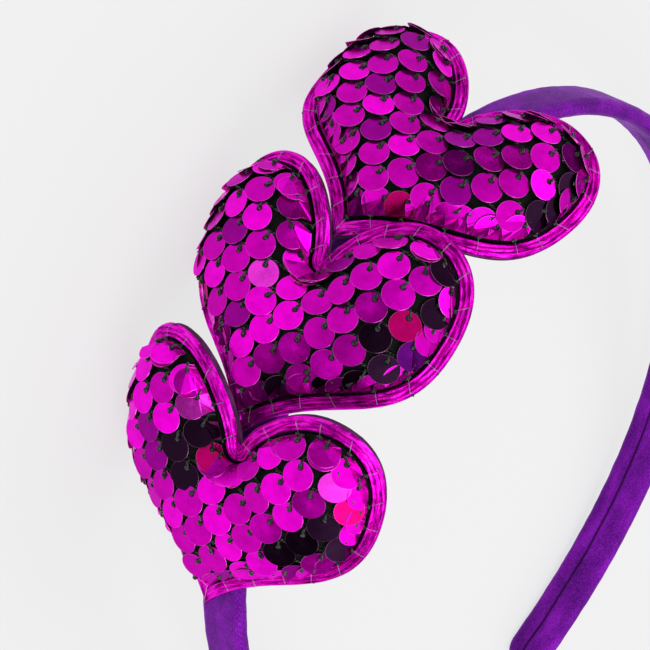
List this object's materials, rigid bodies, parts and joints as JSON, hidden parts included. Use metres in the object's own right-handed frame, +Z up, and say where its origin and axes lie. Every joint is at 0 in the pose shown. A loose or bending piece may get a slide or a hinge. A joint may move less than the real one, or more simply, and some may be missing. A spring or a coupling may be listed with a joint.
{
  "type": "heart headband",
  "caption": "Hair band of springy satin covered strip with padded sequin hearts overlapping down one side, lying on its side.",
  "frame": {"origin": "middle of the bounding box seen from above, at the surface the headband lies on", "axes": "+Z up from that surface, +Y towards the crown of the band, -X towards the hearts; the plane of the band is tilted about 9 degrees, down towards +X and the crown"},
  "size_m": [0.1494, 0.14, 0.0542],
  "materials": {
    "satin": "purple satin",
    "sequins": "magenta metallic sequins on dark mesh",
    "foil": "crushed magenta foil",
    "backing": "plain felt"
  },
  "bodies": {
    "root": {"band": "satin", "top_heart_pad": "sequins", "top_heart_edge": "foil", "top_heart_back": "backing", "middle_heart_pad": "sequins", "middle_heart_edge": "foil", "middle_heart_back": "backing", "lower_heart_pad": "sequins", "lower_heart_edge": "foil", "lower_heart_back": "backing"}
  },
  "joints": []
}
